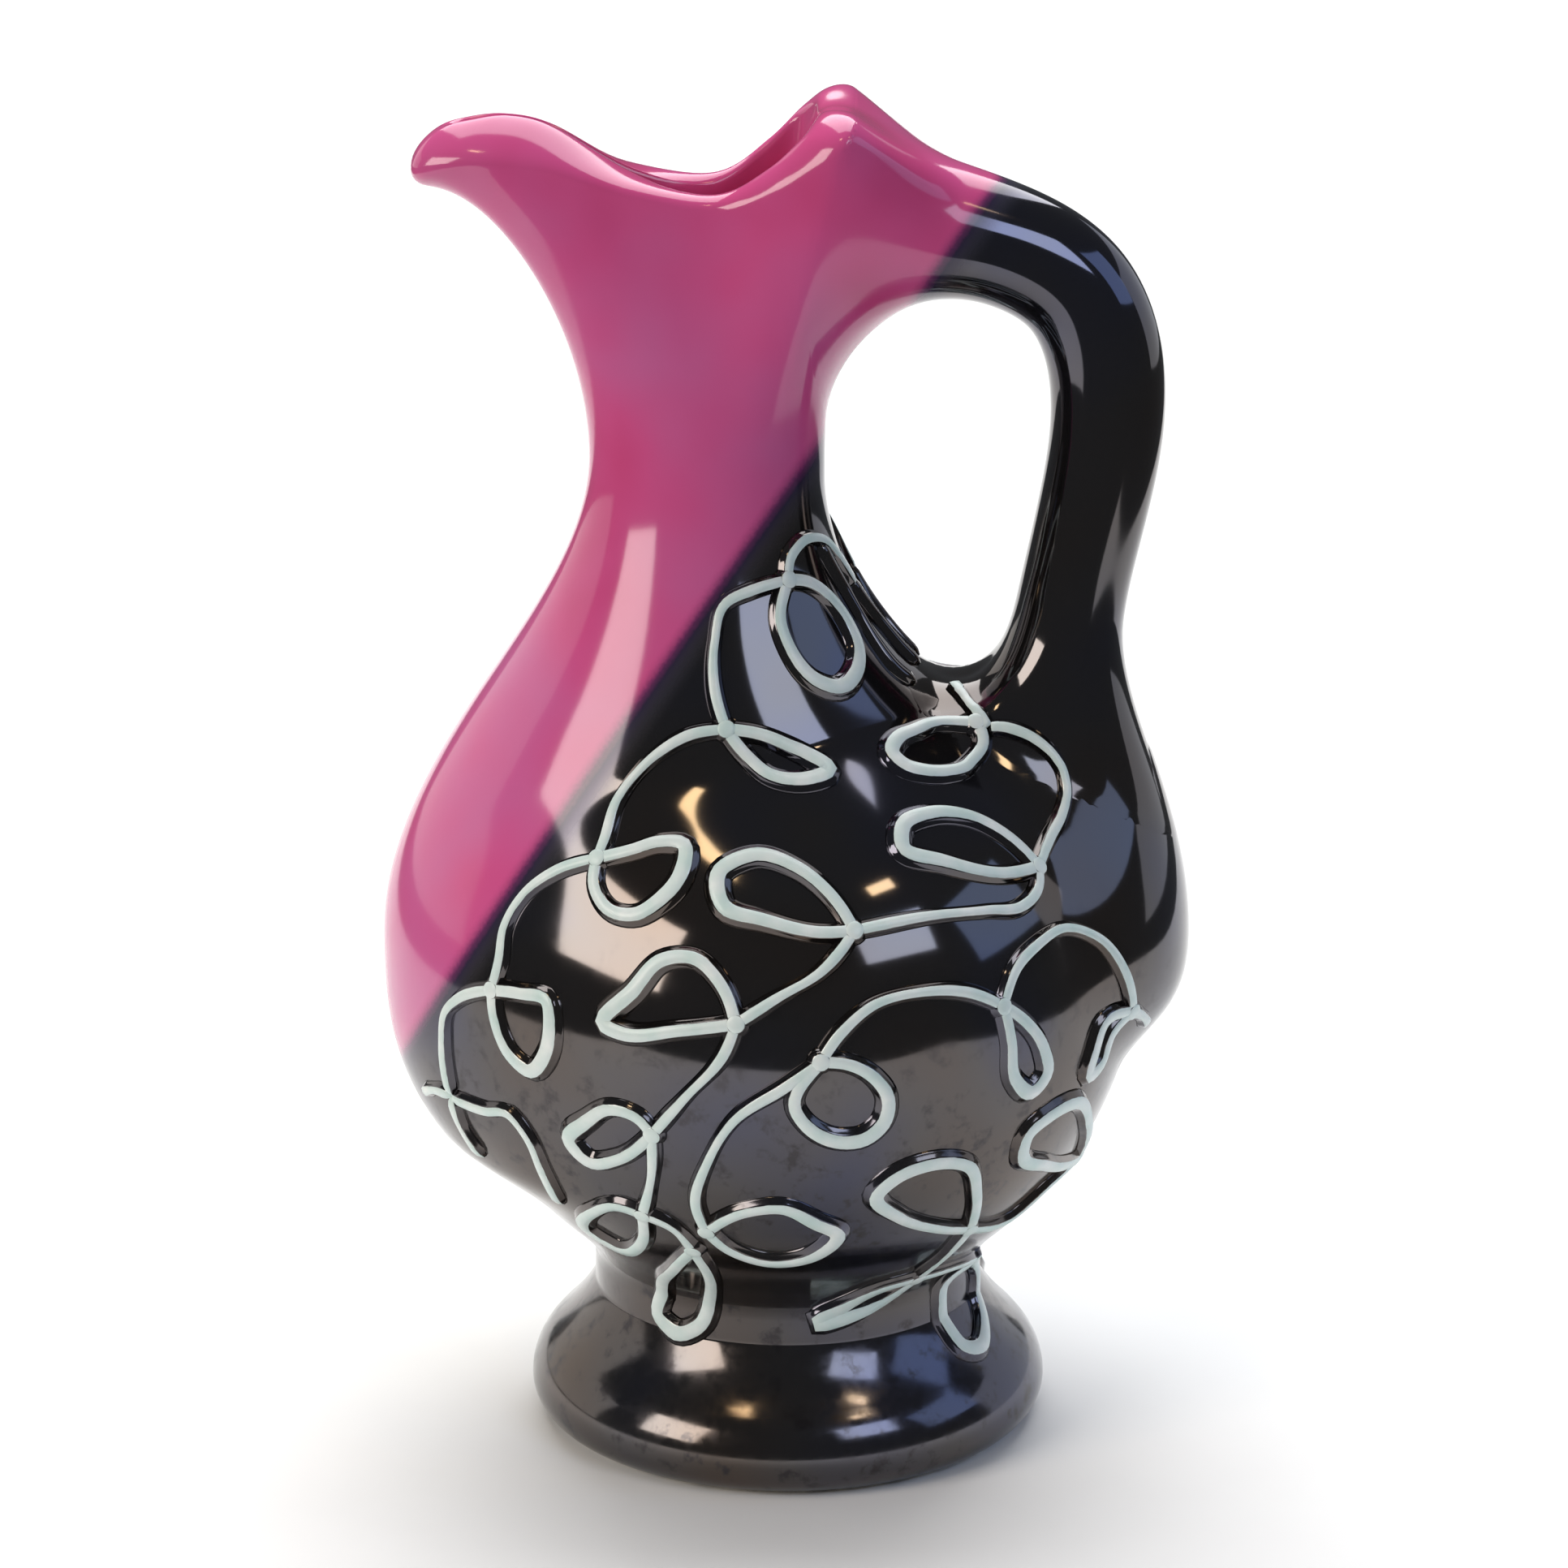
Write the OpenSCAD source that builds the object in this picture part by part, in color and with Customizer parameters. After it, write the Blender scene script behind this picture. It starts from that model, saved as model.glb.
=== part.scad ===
// Ewer with a flared foot, a round belly, a beak spout, an arched handle and trailed vines.
// Frame: Z up, origin under the middle of the foot, spout towards -X, handle towards +X.
// All sizes are in millimetres.

/* [Foot] */
// Radius of the foot at its widest
foot_radius = 52; // [44:0.5:60]
// Height of the waist, where the belly sits on the foot
foot_height = 28; // [22:0.5:36]
// Radius of the waist
waist_radius = 39; // [32:0.5:43]
// Height of the rounded lip of the foot
foot_lip = 13.2; // [10:0.2:16]
// How far the lip curves in under the foot
foot_tuck = 7; // [4:0.5:9]
// Wall of the foot around its hollow
foot_wall = 6; // [4:0.5:8]

/* [Belly] */
// Radius of the round belly
belly_radius = 70; // [64:0.5:75]
// Height of the middle of the belly
belly_middle = 97; // [92:0.5:104]
// Rise of the shoulder above the middle of the belly
shoulder_rise = 58; // [50:0.5:62]
// Height of the seam where the neck and the handle meet the belly
seam_height = 153; // [146:0.5:158]
// Reach of the skirt on the spout side
skirt_reach = 80.5; // [77:0.5:86]
// Height of the widest point of the skirt
skirt_height = 102; // [96:0.5:110]
// Half depth of the skirt
skirt_depth = 50; // [44:0.5:56]
// Height of the lower edge of the skirt
skirt_chin = 64; // [60:0.5:70]
// Reach of the tail of the handle on the belly
tail_reach = 80; // [76:0.5:84]
// Half depth of the tail of the handle
tail_depth = 42; // [36:0.5:46]
// Wall of the vessel
wall = 5; // [4:0.25:6.5]
// Size of the fillet between the belly, the skirt and the tail
fillet = 12; // [6:0.5:18]

/* [Neck] */
// Height of the narrowest part of the neck
throat_height = 200; // [192:0.5:208]
// Width of the neck there
throat_width = 46; // [40:0.5:52]
// Depth of the neck there
throat_depth = 40; // [34:0.5:46]
// Offset of the neck towards the spout
throat_offset = 15.8; // [12:0.2:19]

/* [Mouth] */
// Height of the crest at the back of the mouth
crest_height = 268; // [262:0.5:274]
// Offset of the crest towards the handle
crest_offset = 14; // [11:0.5:16]
// Width of the crest
crest_width = 42; // [37:0.5:46]
// Height of the rim at its lowest
rim_height = 251.5; // [246:0.5:256]
// Width over the rim at its lowest
rim_width = 26; // [22:0.5:30]
// Reach of the spout
spout_reach = 72; // [66:0.5:76]
// Height of the top of the spout
spout_height = 264.5; // [258:0.5:268]
// Width over the spout
spout_width = 20; // [18:0.5:24]
// Thickness of the lip at the sides of the mouth
lip = 5.2; // [4.4:0.1:6.4]
// Thickness of the lip at the crest
crest_lip = 8.5; // [7:0.5:10]
// Width of the slit along the spout
slit = 3.4; // [2.4:0.2:5]

/* [Handle] */
// Reach of the grip to its middle
grip_reach = 61.5; // [58:0.5:66]
// Height of the grip at its furthest reach
grip_height = 212; // [204:0.5:220]
// Thickness of the grip
grip_thickness = 22; // [18:0.5:25]
// Depth of the grip
grip_depth = 23; // [18:0.5:26]
// Height of the middle of the arch
arch_height = 244; // [238:0.5:248]
// Thickness of the arch
arch_thickness = 25.5; // [22:0.5:28]
// Height of the root of the handle at the crest
root_height = 50; // [44:0.5:54]

/* [Vine] */
// Width of a trailed bead at the wall
bead_width = 4.4; // [3.4:0.2:6]
// Width of its flat crest
bead_crest = 2; // [1.2:0.1:2.8]
// Height of a bead
bead_height = 1.5; // [0.8:0.1:2.2]

/* [Hidden] */
// Points round each ring of the belly
belly_count = 40;
// Points round each ring of the neck
neck_count = 40;
// Rings up the outside of the belly, and of the neck as far as the throat
belly_steps = 19;
neck_steps = 7;
// Steps round the lip of the foot
foot_steps = 4;
// Steps over the lip of the mouth, as shares of the way
lip_steps = [0.2, 0.4, 0.6, 0.8];
// Points round the handle
handle_sides = 16;
// Links between two places of a bead
bead_links = 3;
// Links along the handle
handle_links = 20;
// How deep the root of the handle reaches into the neck before it is trimmed to it
bite = 2;
// How far inside the reach of the tail the handle comes down
tail_inset = 27.8;
// Clearance between a bead and the wall under it
bead_seat = 0.15;
// Clearance between a stem and a leaf or stem that it meets
bead_gap = 0.3;
throat_left = -throat_offset - throat_width / 2;
throat_right = -throat_offset + throat_width / 2;
stem_stop = bead_width + bead_gap;
root_middle = crest_height - root_height / 2;
floor_height = belly_middle - belly_radius + wall + 3;

// Curves through knots of [place, value, slope]
function knot(k, u, i = 0) = (i >= len(k) - 2 || u < k[i + 1][0]) ? i : knot(k, u, i + 1);
function clip(t) = max(0, min(1, t));
function mix(a, b, t) = a * (1 - t) + b * t;
function unit(v) = v / norm(v);
function cubic(a, sa, b, sb, t) =
    a * (2 * pow(t, 3) - 3 * t * t + 1) + sa * (pow(t, 3) - 2 * t * t + t)
    + b * (3 * t * t - 2 * pow(t, 3)) + sb * (pow(t, 3) - t * t);
function curve(k, u) =
    let (i = knot(k, u), d = k[i + 1][0] - k[i][0], t = clip((u - k[i][0]) / d))
    cubic(k[i][1], k[i][2] * d, k[i + 1][1], k[i + 1][2] * d, t);

// Curves through points at even places, with tangents from their neighbours
function pick(p, i) = p[max(0, min(len(p) - 1, i))];
function tangent(p, i) = (pick(p, i + 1) - pick(p, i - 1)) / 2;
function path(p, u) =
    let (i = min(floor(u), len(p) - 2), t = u - i)
    cubic(p[i], tangent(p, i), p[i + 1], tangent(p, i + 1), t);

// The larger of two values, rounded over a fillet
function join(a, b, k) = max(a, b) + pow(max(k - abs(a - b), 0), 2) / (4 * k);

// Distance along a ray at an angle to an ellipse whose middle lies d along X
function reach(angle, d, a, b) =
    abs(d) >= a ? 0 :
    let (c = cos(angle), s = sin(angle), p = c * c / (a * a) + s * s / (b * b), q = -d * c / (a * a))
    (-q + sqrt(q * q - p * (d * d / (a * a) - 1))) / p;

// Skirt and neck: left edge, right edge and half depth at a height
chin_base = skirt_chin - 16;
left_knots = [
    [chin_base, -belly_radius * 0.55, -2.2],
    [skirt_chin, -skirt_reach + 9.5, -0.75],
    [skirt_height, -skirt_reach, 0],
    [seam_height, throat_left - 20.9, 0.66],
    [throat_height, throat_left, 0],
];
right_knots = [
    [chin_base, 20, 0],
    [skirt_height, 36, 0],
    [seam_height, throat_right + 22.8, -1.06],
    [throat_height - 4, throat_right, 0],
    [throat_height, throat_right, 0],
];
depth_knots = [
    [chin_base, skirt_depth - 24, 1.8],
    [skirt_chin, skirt_depth - 5, 0.4],
    [skirt_height, skirt_depth, 0],
    [seam_height, throat_depth / 2 + 17, -0.45],
    [throat_height, throat_depth / 2, 0],
];
// Middle of the rings at a height
middle_knots = [
    [skirt_height, 0, 0],
    [seam_height, -throat_offset + 3.8, -0.3],
    [throat_height, -throat_offset, 0],
];
// Tail of the handle: reach and half depth at a height
tail_knots = [
    [skirt_chin + 6, belly_radius - 20, 2.6],
    [skirt_height, tail_reach, 0],
    [seam_height, tail_reach - 13.6, -0.1],
];
tail_depth_knots = [
    [skirt_chin + 6, tail_depth - 24, 1.2],
    [skirt_height + 3, tail_depth, 0],
    [seam_height, grip_depth / 2 + 6, -0.4],
];

function middle(z) = curve(middle_knots, z);
function ball(z, t) =
    let (r = belly_radius - t, h = z < belly_middle ? r : shoulder_rise - t, f = (z - belly_middle) / h)
    abs(f) >= 1 ? 0 : r * sqrt(1 - f * f);
function neck_reach(angle, z, t) =
    z < chin_base ? 0 :
    let (a = curve(left_knots, z), b = curve(right_knots, z))
    reach(angle, (a + b) / 2 - middle(z), (b - a) / 2 - t, curve(depth_knots, z) - t);
function ball_reach(angle, z, t) = reach(angle, -middle(z), ball(z, t), ball(z, t));
function tail_far(angle, z) =
    z < skirt_chin + 6 ? 0 :
    let (a = curve(tail_knots, z) - middle(z))
    reach(angle, (a - 12) / 2, (a + 12) / 2, curve(tail_depth_knots, z));

// Outside of the belly, with and without the tail, and its inside
function round_wall(angle, z) =
    z < belly_middle ? join(ball_reach(angle, z, 0), waist_radius, 8) : ball_reach(angle, z, 0);
function vessel(angle, z) = join(round_wall(angle, z), neck_reach(angle, z, 0), fillet);
function skin(angle, z) =
    z > seam_height ? neck_reach(angle, z, 0) : join(vessel(angle, z), tail_far(angle, z), fillet);
function hollow(angle, z) =
    z > seam_height ? neck_reach(angle, z, wall)
    : join(ball_reach(angle, z, wall), neck_reach(angle, z, wall), fillet);
function on_skin(angle, z) = [middle(z) + skin(angle, z) * cos(angle), skin(angle, z) * sin(angle), z];
function in_hollow(angle, z) = [middle(z) + hollow(angle, z) * cos(angle), hollow(angle, z) * sin(angle), z];

// Outer rim of the mouth over half a turn, from the back to the tip of the spout
rim_points = [
    [crest_offset, 0, crest_height - 0.9],
    [crest_offset - 0.4, crest_width * 0.38, crest_height - 0.4],
    [crest_offset - 4.5, crest_width / 2, crest_height - 4],
    [-1, rim_width / 2 + 5, rim_height + 4.5],
    [-14, rim_width / 2, rim_height - 0.7],
    [-30, rim_width / 2 - 1.5, rim_height + 1.8],
    [-46, spout_width / 2 + 0.6, spout_height - 6.4],
    [-spout_reach + 12, spout_width / 2 - 0.6, spout_height - 5.2],
    [-spout_reach + 3.5, spout_width / 2 - 4, spout_height - 7],
    [-spout_reach + 0.8, 0, spout_height - 9.5],
];
// Inner edge of the lip, likewise: it closes to a slit along the spout
edge_points = [
    [crest_offset - crest_lip, 0, crest_height - 0.9],
    [crest_offset - crest_lip - 0.5, crest_width * 0.2, crest_height - 0.8],
    [crest_offset - crest_lip - 4, crest_width * 0.3, crest_height - 5],
    [-5, rim_width / 2 + 4.2 - lip, rim_height + 5],
    [-15, rim_width / 2 - lip, rim_height - 0.3],
    [-30, slit / 2 + 2.5, rim_height + 3.3],
    [-45, slit / 2 + 0.3, spout_height - 1.6],
    [-spout_reach + 14.5, slit / 2, spout_height + 2.1],
    [-spout_reach + 9.5, slit / 2 - 0.5, spout_height + 1.9],
    [-spout_reach + 8, 0, spout_height + 1.5],
];
// How full the lip rolls over, and how far it closes over like a beak, at the same places
roll_points = [
    [1, 0],
    [1, 0],
    [1.2, 0],
    [1.7, 0],
    [2, 0],
    [1.9, 0.25],
    [1.5, 0.7],
    [1.2, 0.9],
    [1.1, 1],
    [1, 1],
];
function flip(p) = len(p) > 2 ? [p[0], -p[1], p[2]] : p;
// Value at an angle of a loop that is given over half a turn and mirrored over the middle plane
function half_loop(points, u) =
    let (n = len(points) - 1, ends = concat([flip(points[1])], points, [flip(points[n - 1])]))
    path(ends, 1 + u * n);
function loop(points, angle) =
    angle > 180 ? flip(half_loop(points, (360 - angle) / 180)) : half_loop(points, angle / 180);

// Wall from the throat to the rim, outside and inside, and the lip between them
function lean(angle) = let (c = cos(angle)) c < 0 ? [34 * c, 0, 8 + 38 * (1 + c)] : [0, 0, 46];
function outer_rise(angle, t) =
    cubic(on_skin(angle, throat_height), [0, 0, 70], loop(rim_points, angle), lean(angle), t);
function inner_rise(angle, t) =
    let (c = min(cos(angle), 0))
    cubic(in_hollow(angle, throat_height), [0, 0, 62], loop(edge_points, angle), [14 * c, 0, 46 + 20 * c], t);
function lip_top(angle, t) =
    let (a = loop(rim_points, angle), b = loop(edge_points, angle), roll = loop(roll_points, angle))
    let (size = norm(b - a), over = roll[1], level = unit([b[0] - a[0], b[1] - a[1], 0]))
    let (up = unit(lean(angle)) * roll[0] * size, down = level * size * over - [0, 0, roll[0] * size * (1 - over)])
    cubic(a, up, b, down, t);

// Rings of points and the faces between them
function angles(n) = [for (i = [0:n - 1]) i * 360 / n];
function ladder(a, b, n) = [for (i = [0:n]) a + (b - a) * i / n];
function flat(rings) = [for (r = rings) for (p = r) p];
function band(i, j, n) =
    [for (k = [0:n - 1]) let (m = (k + 1) % n)
        each [[i * n + k, j * n + k, j * n + m], [i * n + k, j * n + m, i * n + m]]];
function bands(count, n) = [for (i = [0:count - 2]) each band(i, i + 1, n)];
function cap(i, n) = [for (k = [0:n - 1]) i * n + k];
function cap_back(i, n) = [for (k = [n - 1:-1:0]) i * n + k];

belly_outside = [for (z = ladder(foot_height, seam_height, belly_steps)) [for (a = angles(belly_count)) on_skin(a, z)]];
belly_inside = [for (z = ladder(seam_height, floor_height, 13)) [for (a = angles(belly_count)) in_hollow(a, z)]];
neck_outside = concat(
    [for (z = ladder(seam_height, throat_height, neck_steps)) [for (a = angles(neck_count)) on_neck(a, z)]],
    [for (i = [1:8]) [for (a = angles(neck_count)) outer_rise(a, i / 8)]]
);
neck_lip = [for (t = lip_steps) [for (a = angles(neck_count)) lip_top(a, t)]];
neck_inside = concat(
    [for (i = [5:-1:1]) [for (a = angles(neck_count)) inner_rise(a, i / 5)]],
    [for (z = ladder(throat_height, seam_height, 4)) [for (a = angles(neck_count)) in_hollow(a, z)]]
);
function on_neck(angle, z) =
    let (r = neck_reach(angle, z, 0))
    [middle(z) + r * cos(angle), r * sin(angle), z];

// Solid made of rings joined in order, closed at both ends
module stack(rings) {
    n = len(rings[0]);
    count = len(rings);
    polyhedron(points = flat(rings), faces = concat(bands(count, n), [cap(0, n), cap_back(count - 1, n)]));
}

// Foot
module foot() {
    lip_radius = foot_radius - foot_tuck;
    inner = lip_radius - 3.5;
    color("#241f26")
        rotate_extrude($fn = 48)
            polygon(concat(
                [[0, foot_height - foot_wall], [waist_radius - foot_wall, foot_height - foot_wall]],
                [[inner, 0], [lip_radius, 0]],
                [for (i = [1:foot_steps]) foot_bulge(90 * i / foot_steps)],
                [for (i = [1:2 * foot_steps]) foot_flare(i / (2 * foot_steps))],
                [[0, foot_height]]
            ));
}
// Rounded lip of the foot, from under it to its widest point
function foot_bulge(t) =
    [foot_radius - foot_tuck + foot_tuck * sin(t), foot_lip / 2 * (1 - cos(t))];
// Flare from there up to the waist, first full, then hollow
flare_knots = [
    [foot_lip / 2, foot_radius, 0],
    [foot_height - 11.4, foot_radius - 4.7, -1.02],
    [foot_height, waist_radius, -0.45],
];
function foot_flare(t) =
    let (z = mix(foot_lip / 2, foot_height, t))
    [curve(flare_knots, z), z];

module belly() {
    color("#2a2530") stack(concat(belly_outside, belly_inside));
}

module neck() {
    n = neck_count;
    rings = concat(neck_outside, neck_lip, neck_inside);
    count = len(rings);
    color("#c0417f")
        polyhedron(points = flat(rings), faces = concat(bands(count, n), band(count - 1, 0, n)));
}
// Neck filled in, for the handle that is trimmed to it
module neck_core() {
    top = [for (p = neck_lip[1]) [p[0], p[1], crest_height + root_height]];
    stack(concat(neck_outside, [neck_lip[0], neck_lip[1], top]));
}

// Handle: middle line, then half thickness, half depth and how square its top and how keen its underside is
handle_line = [
    [throat_right - bite, root_middle - 3],
    [crest_offset - 2, root_middle - 1],
    [crest_offset + 2.5, root_middle + 1.5],
    [crest_offset + 8.5, root_middle + 2.2],
    [crest_offset + 17, arch_height],
    [grip_reach - 19, arch_height - 3],
    [grip_reach - 9.5, arch_height - 9.3],
    [grip_reach - 3, grip_height + 15],
    [grip_reach, grip_height],
    [grip_reach - 1, grip_height - 14],
    [grip_reach - 4, grip_height - 30],
    [grip_reach - 6.8, seam_height + 14],
    [tail_reach - tail_inset, seam_height],
];
handle_size = [
    [root_height / 2 + 3, crest_width / 2 - 5, 0.5, 1.9],
    [root_height / 2, crest_width / 2 - 3, 0.5, 1.8],
    [root_height / 2 - 4, crest_width / 2 - 4, 0.55, 1.6],
    [root_height / 2 - 9, crest_width / 2 - 5.5, 0.65, 1.4],
    [arch_thickness / 2, crest_width / 2 - 7, 0.8, 1.2],
    [grip_thickness / 2 + 1, grip_depth / 2 + 1, 0.9, 1],
    [grip_thickness / 2 + 0.6, grip_depth / 2, 1, 1],
    [grip_thickness / 2 + 0.6, grip_depth / 2, 1, 1],
    [grip_thickness / 2 + 0.2, grip_depth / 2, 1, 1],
    [grip_thickness / 2, grip_depth / 2, 1, 1],
    [grip_thickness / 2 - 0.4, grip_depth / 2, 1, 1],
    [grip_thickness / 2 - 0.2, grip_depth / 2 + 0.6, 1, 1],
    [grip_thickness / 2 + 3, grip_depth / 2 + 1.5, 1, 1],
];
// Way of the handle: level at its root, straight down at its foot
function handle_way(u) =
    let (n = len(handle_line) - 1, d = path(handle_line, min(u + 0.02, n)) - path(handle_line, max(u - 0.02, 0)))
    let (w = mix([1, 0], unit(d), clip((u - 3) / 1.5)))
    unit(mix(w, [0, -1], clip(u - n + 1)));
function handle_ring(u) =
    let (p = path(handle_line, u), s = path(handle_size, u), w = handle_way(u))
    [for (i = [0:handle_sides - 1])
        let (a = i * 360 / handle_sides, q = cos(a) > 0 ? s[2] : s[3])
        [p[0] - w[1] * s[0] * cos(a), s[1] * sign(sin(a)) * pow(abs(sin(a)), q), p[1] + w[0] * s[0] * cos(a)]];
module handle_link(i) {
    n = len(handle_line) - 1;
    rings = [handle_ring(i * n / handle_links), handle_ring((i + 1) * n / handle_links)];
    hull() stack(rings);
}
module handle() {
    color("#1c1a20")
        difference() {
            union() {
                for (i = [0:handle_links - 1])
                    handle_link(i);
            }
            neck_core();
        }
}

// Trailed beads along places of [angle round the vessel, height], seated on the faces of the wall
function on_face(rings, f, g) =
    let (n = len(rings[0]), i = max(0, min(floor(f), len(rings) - 2)), k = floor(g) % n, m = (k + 1) % n)
    let (s = g - floor(g))
    mix(mix(rings[i][k], rings[i][m], s), mix(rings[i + 1][k], rings[i + 1][m], s), f - i);
function wall_point(c) =
    c[1] > seam_height
    ? on_face(neck_outside, (c[1] - seam_height) / (throat_height - seam_height) * neck_steps, c[0] / 360 * neck_count)
    : on_face(belly_outside, (c[1] - foot_height) / (seam_height - foot_height) * belly_steps, c[0] / 360 * belly_count);
function skin_normal(a, z) =
    unit(cross(on_skin(a + 1, z) - on_skin(a - 1, z), on_skin(a, z + 0.5) - on_skin(a, z - 0.5)));
function bead_ring(cs, i, wrap) =
    let (n = len(cs), c = cs[i], m = wall_point(c), up = skin_normal(c[0], c[1]))
    let (a = wrap ? cs[(i + n - 1) % n] : cs[max(0, i - 1)], b = wrap ? cs[(i + 1) % n] : cs[min(n - 1, i + 1)])
    let (s = unit(cross(up, wall_point(b) - wall_point(a))))
    let (low = m + bead_seat * up, high = low + bead_height * up)
    [low - bead_width / 2 * s, low + bead_width / 2 * s, high + bead_crest / 2 * s, high - bead_crest / 2 * s];
function bead_rings(cs, wrap) = [for (i = [0:len(cs) - 1]) bead_ring(cs, i, wrap)];
// Length of the first step of a path, on the wall
function step(p, i, j) = norm(wall_point(p[i]) - wall_point(p[j]));
// Stem that stops clear of the leaves at its ends
module stem(p) {
    n = len(p) - 1;
    from = stem_stop / step(p, 0, 1);
    to = n - stem_stop / step(p, n, n - 1);
    stack(bead_rings([for (u = ladder(from, to, n * bead_links)) path(p, u)], false));
}
// Leaf as one closed loop
module leaf(p) {
    n = len(p);
    q = concat([p[n - 1]], p, [p[0], p[1]]);
    rings = bead_rings([for (i = [0:n * bead_links - 1]) path(q, 1 + i / bead_links)], true);
    polyhedron(points = flat(rings), faces = concat(bands(len(rings), 4), band(len(rings) - 1, 0, 4)));
}
// Strand of stems and leaves
module strand(stems, leaves) {
    color("#c9dcd6") {
        for (p = stems)
            stem(p);
        for (p = leaves)
            leaf(p);
    }
}

neck_stems = [
    [[308, 180], [318, 187], [336, 188], [352, 182]],
    [[308, 180], [284, 178], [271, 167], [271, 155]],
    [[271, 155], [254, 153], [240, 142], [236, 132]],
    [[236, 132], [222, 124], [218, 105]],
    [[218, 105], [208, 97], [207, 79]],
];
neck_leaves = [
    [[308, 180], [300, 170], [312, 160], [328, 168]],
    [[271, 155], [284, 153], [296, 146], [280, 147]],
    [[236, 132], [250, 136], [252, 129], [240, 124]],
    [[218, 105], [229, 105], [226, 91], [219, 98]],
];
belly_stems = [
    [[341, 147], [345, 143], [339, 135], [325, 127]],
    [[325, 127], [313, 122], [284, 123]],
    [[284, 123], [274, 115], [262, 107]],
    [[262, 107], [256, 94], [248, 83]],
    [[248, 83], [247, 73], [243, 63]],
    [[243, 63], [252, 54]],
];
belly_leaves = [
    [[341, 147], [326, 148], [316, 146], [330, 142]],
    [[325, 127], [313, 139], [301, 136], [316, 128]],
    [[284, 123], [277, 134], [262, 130], [273, 124]],
    [[262, 107], [254, 118], [240, 104], [252, 104]],
    [[248, 83], [242, 87], [232, 78], [241, 75]],
    [[243, 63], [233, 62], [226, 50], [236, 52]],
    [[252, 54], [240, 44], [238, 34], [249, 41]],
];
front_stems = [
    [[306, 106], [296, 111], [284, 110], [273, 100]],
    [[273, 100], [256, 80], [256, 61]],
    [[306, 106], [317, 116], [332, 109], [337, 95]],
];
front_leaves = [
    [[306, 106], [314, 96], [312, 87], [307, 98]],
    [[273, 100], [284, 95], [279, 83], [270, 92]],
    [[256, 61], [267, 68], [279, 61], [267, 53]],
    [[337, 95], [329, 93], [327, 85], [333, 89]],
];
low_stems = [
    [[338, 62], [322, 55], [308, 56]],
    [[308, 56], [304, 42]],
];
low_leaves = [
    [[338, 62], [329, 78], [313, 75], [324, 66]],
    [[308, 56], [302, 74], [285, 70], [297, 59]],
    [[304, 43], [292, 43], [279, 35], [292, 36]],
    [[322, 55], [332, 46], [326, 35], [317, 44]],
];
module neck_vine() {
    strand(neck_stems, neck_leaves);
}
module belly_vine() {
    strand(belly_stems, belly_leaves);
}
module front_vine() {
    strand(front_stems, front_leaves);
}
module low_vine() {
    strand(low_stems, low_leaves);
}
module neck_vine_back() {
    mirror([0, 1, 0]) neck_vine();
}
module belly_vine_back() {
    mirror([0, 1, 0]) belly_vine();
}
module front_vine_back() {
    mirror([0, 1, 0]) front_vine();
}
module low_vine_back() {
    mirror([0, 1, 0]) low_vine();
}

foot();
belly();
neck();
handle();
neck_vine();
belly_vine();
front_vine();
low_vine();
neck_vine_back();
belly_vine_back();
front_vine_back();
low_vine_back();
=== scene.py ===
"""Glazed ewer with a beak spout, an arched handle and a trailed vine, dressed round its frame.

Lengths in the classes are millimetres unless a class says otherwise, and angles are degrees. Meshes are metres,
Z up, spout towards -X, handle towards +X.
"""

from __future__ import annotations

import logging
import math
from dataclasses import dataclass
from enum import Enum
from typing import Any, Callable, Sequence

import bmesh
import bpy
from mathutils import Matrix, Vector
from mathutils.bvhtree import BVHTree

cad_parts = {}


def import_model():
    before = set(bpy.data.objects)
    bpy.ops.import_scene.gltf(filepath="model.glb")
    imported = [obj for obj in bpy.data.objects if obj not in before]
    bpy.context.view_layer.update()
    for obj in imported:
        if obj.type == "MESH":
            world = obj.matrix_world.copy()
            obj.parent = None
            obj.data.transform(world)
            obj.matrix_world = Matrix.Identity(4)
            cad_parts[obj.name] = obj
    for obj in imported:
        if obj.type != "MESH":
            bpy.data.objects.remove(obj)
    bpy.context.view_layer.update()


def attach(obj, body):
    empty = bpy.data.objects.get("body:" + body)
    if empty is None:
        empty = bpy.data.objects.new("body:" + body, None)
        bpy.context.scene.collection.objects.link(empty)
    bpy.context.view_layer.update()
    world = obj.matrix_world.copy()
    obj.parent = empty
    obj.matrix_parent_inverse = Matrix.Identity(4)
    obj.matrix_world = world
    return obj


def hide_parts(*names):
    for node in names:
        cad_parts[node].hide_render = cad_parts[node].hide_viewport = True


LOG = logging.getLogger("ewer")
MM = 0.001
BODY = "root"
MIRROR = Vector((1, -1, 1))  # turns a point over the plane of spout and handle
CREST_PLACE = 4 / 11  # place of a strip's crest across its UV
WELD = 1e-6  # points closer than this many metres become one
TINY = 1e-9  # least length that is divided by
Material = bpy.types.Material
Piece = bpy.types.Object
Place = tuple[float, float]
Point = tuple[float, float, float]
Paths = tuple[tuple[Place, ...], ...]
Knots = Sequence[tuple[float, ...]]
Surface = Callable[[float, float], Vector]
Ring = Callable[[float], Vector]
Line = Sequence[tuple[Vector, Vector]]


class Slot(str, Enum):
    """Material slots of the record that the pieces use."""

    BLACK = "black_glaze"
    MINT = "mint_slip"


class Fall(Enum):
    """Way that a line falls onto the walls, as the start's height or depth and a direction."""

    DOWN = (166.0, (0, 0, -1))
    BACK = (-120.0, (0, 1, 0))


class Side(Enum):
    """Side of the vessel that a strand lies on, as a factor for Y."""

    FRONT = 1
    BACK = -1


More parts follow.
